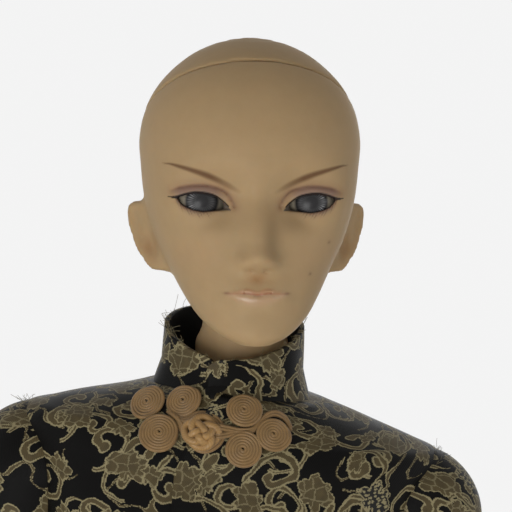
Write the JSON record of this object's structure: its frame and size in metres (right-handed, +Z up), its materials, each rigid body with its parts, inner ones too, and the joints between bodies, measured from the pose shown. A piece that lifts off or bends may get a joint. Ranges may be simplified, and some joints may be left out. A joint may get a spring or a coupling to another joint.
{
  "type": "ball-jointed doll",
  "caption": "Bald resin ball-jointed doll strung on elastic cord, with a lift-off head cap, set-in eyes and a brocade jacket closed by a spiral cord frog.",
  "frame": {"origin": "on the floor under the middle of the standing doll's box", "axes": "+Z up the standing doll; the doll faces -Y; its own left side is +X"},
  "size_m": [0.2028, 0.1069, 0.6496],
  "materials": {
    "resin": "cast polyurethane resin, warm tan, satin, with a painted face",
    "eye_glass": "grey-blue acrylic half-round eyes, polished",
    "putty": "off-white eye putty, matt",
    "steel": "bent steel wire and plated magnets",
    "elastic": "white braided elastic cord",
    "brocade": "black satin brocade with woven dull-gold flowers and leaves",
    "gold_cord": "golden-tan satin cord, coiled flat"
  },
  "bodies": {
    "pelvis": {"pelvis": "resin", "pelvis_cord_left": "elastic", "pelvis_cord_right": "elastic"},
    "abdomen": {"abdomen": "resin", "abdomen_cord": "elastic"},
    "chest": {"chest": "resin", "chest_cord": "elastic", "arm_cord": "elastic", "jacket_back": "brocade", "jacket_front_left": "brocade", "jacket_front_right": "brocade", "collar": "brocade", "frog_loop": "gold_cord", "frog_knot": "gold_cord"},
    "neck_hook": {"neck_hook": "steel"},
    "neck_bar": {"neck_bar": "steel"},
    "head": {"head_shell": "resin", "eye_left": "eye_glass", "eye_right": "eye_glass", "eye_putty_left": "putty", "eye_putty_right": "putty", "shell_magnet": "steel"},
    "head_cap": {"head_cap": "resin", "cap_magnet": "steel"},
    "shoulder_cord_left": {"shoulder_cord_left": "elastic"},
    "upper_arm_left": {"upper_arm_left": "resin", "upper_arm_cord_left": "elastic", "sleeve_left": "brocade"},
    "forearm_left": {"forearm_left": "resin", "forearm_cord_left": "elastic"},
    "hand_hook_left": {"hand_hook_left": "steel"},
    "hand_left": {"hand_left": "resin"},
    "hip_cord_left": {"hip_cord_left": "elastic"},
    "thigh_left": {"thigh_left": "resin", "thigh_cord_left": "elastic"},
    "knee_joint_left": {"knee_joint_left": "resin", "knee_cord_left": "elastic"},
    "shin_left": {"shin_left": "resin", "shin_cord_left": "elastic"},
    "foot_hook_left": {"foot_hook_left": "steel"},
    "foot_left": {"foot_left": "resin"},
    "shoulder_cord_right": {"shoulder_cord_right": "elastic"},
    "upper_arm_right": {"upper_arm_right": "resin", "upper_arm_cord_right": "elastic", "sleeve_right": "brocade"},
    "forearm_right": {"forearm_right": "resin", "forearm_cord_right": "elastic"},
    "hand_hook_right": {"hand_hook_right": "steel"},
    "hand_right": {"hand_right": "resin"},
    "hip_cord_right": {"hip_cord_right": "elastic"},
    "thigh_right": {"thigh_right": "resin", "thigh_cord_right": "elastic"},
    "knee_joint_right": {"knee_joint_right": "resin", "knee_cord_right": "elastic"},
    "shin_right": {"shin_right": "resin", "shin_cord_right": "elastic"},
    "foot_hook_right": {"foot_hook_right": "steel"},
    "foot_right": {"foot_right": "resin"}
  },
  "joints": [
    {"name": "waist_turn", "type": "hinge", "parent": "pelvis", "child": "abdomen", "pos_m": [0, 0.00789, 0.406], "axis": [0, 0, 1], "range_deg": [-30, 30], "deforming": ["jacket_back", "jacket_front_left", "jacket_front_right"]},
    {"name": "chest_bend", "type": "hinge", "parent": "abdomen", "child": "chest", "pos_m": [0, 0.00789, 0.438], "axis": [1, 0, 0], "range_deg": [-12, 25]},
    {"name": "neck_turn", "type": "hinge", "parent": "chest", "child": "neck_hook", "pos_m": [0, 0.00989, 0.57], "axis": [0, 0, 1], "range_deg": [-74, 66], "deforming": ["collar"]},
    {"name": "neck_nod", "type": "hinge", "parent": "neck_hook", "child": "neck_bar", "pos_m": [0, 0.00989, 0.57], "axis": [0.9976, 0.0698, 0], "range_deg": [-15, 5]},
    {"name": "neck_tilt", "type": "hinge", "parent": "neck_bar", "child": "head", "pos_m": [0, 0.00989, 0.57], "axis": [-0.0696, 0.9951, -0.0698], "range_deg": [-8, 11]},
    {"name": "head_cap_lift", "type": "slide", "parent": "head", "child": "head_cap", "axis": [-0.1294, 0.5656, 0.8145], "range_m": [0, 0.06]},
    {"name": "shoulder_swing_left", "type": "hinge", "parent": "chest", "child": "shoulder_cord_left", "pos_m": [0.057, 0.00989, 0.514], "axis": [-1, 0, 0], "range_deg": [-40, 110], "deforming": ["sleeve_left"]},
    {"name": "shoulder_raise_left", "type": "hinge", "parent": "shoulder_cord_left", "child": "upper_arm_left", "pos_m": [0.057, 0.00989, 0.514], "axis": [0, -1, 0], "range_deg": [0, 55]},
    {"name": "elbow_left", "type": "hinge", "parent": "upper_arm_left", "child": "forearm_left", "pos_m": [0.07327, 0.00989, 0.41128], "axis": [-0.9877, 0, -0.1564], "range_deg": [0, 80]},
    {"name": "wrist_twist_left", "type": "hinge", "parent": "forearm_left", "child": "hand_hook_left", "pos_m": [0.08797, 0.00989, 0.31844], "axis": [-0.1564, 0, 0.9877], "range_deg": [-80, 80]},
    {"name": "wrist_bend_left", "type": "hinge", "parent": "hand_hook_left", "child": "hand_left", "pos_m": [0.08797, 0.00989, 0.31844], "axis": [0, 1, 0], "range_deg": [-50, 30]},
    {"name": "hip_swing_left", "type": "hinge", "parent": "pelvis", "child": "hip_cord_left", "pos_m": [0.032, 0.00789, 0.344], "axis": [-1, 0, 0], "range_deg": [-15, 85]},
    {"name": "hip_spread_left", "type": "hinge", "parent": "hip_cord_left", "child": "thigh_left", "pos_m": [0.032, 0.00789, 0.344], "axis": [0, -1, 0], "range_deg": [0, 20]},
    {"name": "knee_upper_left", "type": "hinge", "parent": "thigh_left", "child": "knee_joint_left", "pos_m": [0.032, 0.00789, 0.195], "axis": [1, 0, 0], "range_deg": [0, 60]},
    {"name": "knee_lower_left", "type": "hinge", "parent": "knee_joint_left", "child": "shin_left", "pos_m": [0.032, 0.00789, 0.177], "axis": [1, 0, 0], "range_deg": [0, 60]},
    {"name": "ankle_pitch_left", "type": "hinge", "parent": "shin_left", "child": "foot_hook_left", "pos_m": [0.032, 0.00789, 0.034], "axis": [1, 0, 0], "range_deg": [-20, 40]},
    {"name": "ankle_tilt_left", "type": "hinge", "parent": "foot_hook_left", "child": "foot_left", "pos_m": [0.032, 0.00789, 0.034], "axis": [0, 1, 0], "range_deg": [-12, 12]},
    {"name": "shoulder_swing_right", "type": "hinge", "parent": "chest", "child": "shoulder_cord_right", "pos_m": [-0.057, 0.00989, 0.514], "axis": [-1, 0, 0], "range_deg": [-40, 110], "deforming": ["sleeve_right"]},
    {"name": "shoulder_raise_right", "type": "hinge", "parent": "shoulder_cord_right", "child": "upper_arm_right", "pos_m": [-0.057, 0.00989, 0.514], "axis": [0, 1, 0], "range_deg": [0, 55]},
    {"name": "elbow_right", "type": "hinge", "parent": "upper_arm_right", "child": "forearm_right", "pos_m": [-0.07327, 0.00989, 0.41128], "axis": [-0.9877, 0, 0.1564], "range_deg": [0, 80]},
    {"name": "wrist_twist_right", "type": "hinge", "parent": "forearm_right", "child": "hand_hook_right", "pos_m": [-0.08797, 0.00989, 0.31844], "axis": [-0.1564, 0, -0.9877], "range_deg": [-80, 80]},
    {"name": "wrist_bend_right", "type": "hinge", "parent": "hand_hook_right", "child": "hand_right", "pos_m": [-0.08797, 0.00989, 0.31844], "axis": [0, -1, 0], "range_deg": [-50, 30]},
    {"name": "hip_swing_right", "type": "hinge", "parent": "pelvis", "child": "hip_cord_right", "pos_m": [-0.032, 0.00789, 0.344], "axis": [-1, 0, 0], "range_deg": [-15, 85]},
    {"name": "hip_spread_right", "type": "hinge", "parent": "hip_cord_right", "child": "thigh_right", "pos_m": [-0.032, 0.00789, 0.344], "axis": [0, 1, 0], "range_deg": [0, 20]},
    {"name": "knee_upper_right", "type": "hinge", "parent": "thigh_right", "child": "knee_joint_right", "pos_m": [-0.032, 0.00789, 0.195], "axis": [1, 0, 0], "range_deg": [0, 60]},
    {"name": "knee_lower_right", "type": "hinge", "parent": "knee_joint_right", "child": "shin_right", "pos_m": [-0.032, 0.00789, 0.177], "axis": [1, 0, 0], "range_deg": [0, 60]},
    {"name": "ankle_pitch_right", "type": "hinge", "parent": "shin_right", "child": "foot_hook_right", "pos_m": [-0.032, 0.00789, 0.034], "axis": [1, 0, 0], "range_deg": [-20, 40]},
    {"name": "ankle_tilt_right", "type": "hinge", "parent": "foot_hook_right", "child": "foot_right", "pos_m": [-0.032, 0.00789, 0.034], "axis": [0, -1, 0], "range_deg": [-12, 12]}
  ],
  "couplings": [
    {"joint": "knee_lower_left", "follows": "knee_upper_left", "ratio": 1},
    {"joint": "knee_lower_right", "follows": "knee_upper_right", "ratio": 1}
  ]
}
